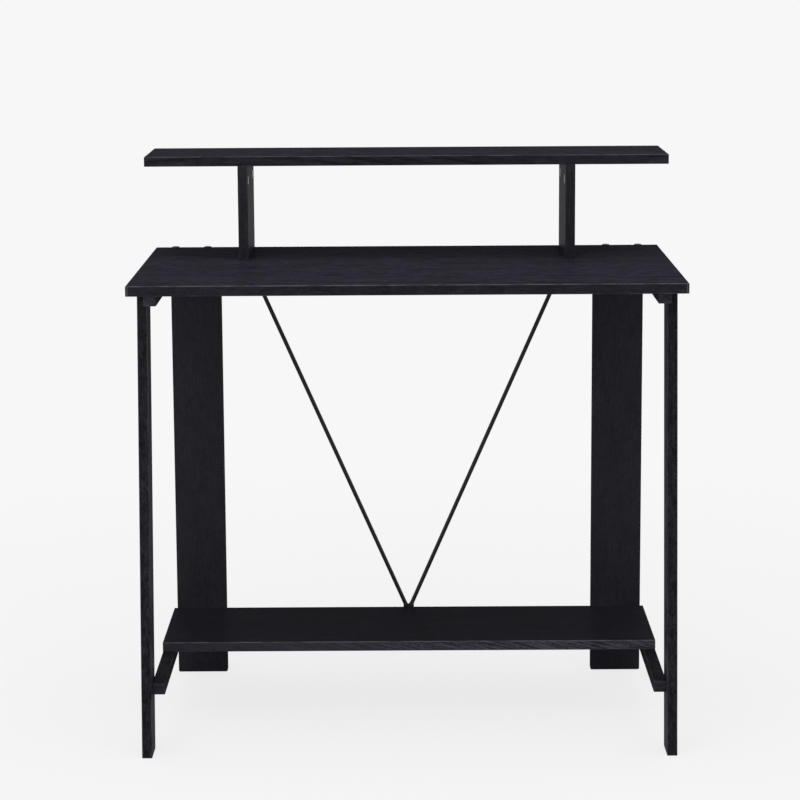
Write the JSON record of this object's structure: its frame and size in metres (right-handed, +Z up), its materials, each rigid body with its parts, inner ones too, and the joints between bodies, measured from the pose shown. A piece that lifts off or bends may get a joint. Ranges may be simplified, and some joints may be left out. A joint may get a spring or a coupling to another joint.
{
  "type": "writing desk with raised monitor shelf",
  "caption": "Writing desk in black wood-grain board: leaning front legs, upright back legs, raised monitor shelf, low shelf and a V-shaped rod brace",
  "frame": {"origin": "centre of the object's bounding box in plan, at floor level", "axes": "+X across the desk to the right as seen from the front, +Y from front to back, +Z up; the front faces -Y"},
  "size_m": [0.86, 0.5, 0.92],
  "materials": {
    "desktop_wood": "black wood-grain laminate, satin",
    "monitor_shelf_wood": "black wood-grain laminate, satin",
    "support_wood": "black wood-grain laminate, satin",
    "front_leg_wood": "black wood-grain laminate, satin",
    "back_leg_wood": "black wood-grain laminate, satin",
    "rail_wood": "black wood-grain laminate, satin",
    "low_shelf_wood": "black wood-grain laminate, satin",
    "rod_metal": "black powder coat, satin",
    "bolt_black": "black-finished steel, semi-gloss",
    "screw_steel": "zinc-plated steel",
    "dowel_wood": "plain beech, unfinished",
    "cam_metal": "die-cast zinc alloy"
  },
  "bodies": {
    "root": {"desktop": "desktop_wood", "monitor_shelf": "monitor_shelf_wood", "shelf_support_left": "support_wood", "shelf_support_right": "support_wood", "front_leg_left": "front_leg_wood", "front_leg_right": "front_leg_wood", "back_leg_left": "back_leg_wood", "back_leg_right": "back_leg_wood", "upper_rail_left": "rail_wood", "upper_rail_right": "rail_wood", "lower_rail_left": "rail_wood", "lower_rail_right": "rail_wood", "low_shelf": "low_shelf_wood", "brace_rod_left": "rod_metal", "brace_rod_right": "rod_metal", "desktop_bolts": "bolt_black", "leg_bolts": "bolt_black", "rail_bolts": "bolt_black", "brace_screws": "bolt_black", "back_leg_barrel_nuts": "screw_steel", "rail_barrel_nuts": "screw_steel", "leg_sleeves": "screw_steel", "upper_rail_screws": "screw_steel", "low_shelf_screws": "screw_steel", "support_screws": "screw_steel", "cam_bolts": "screw_steel", "leg_dowels": "dowel_wood", "desktop_dowels": "dowel_wood", "monitor_shelf_dowels": "dowel_wood", "cam_locks": "cam_metal"}
  },
  "joints": []
}
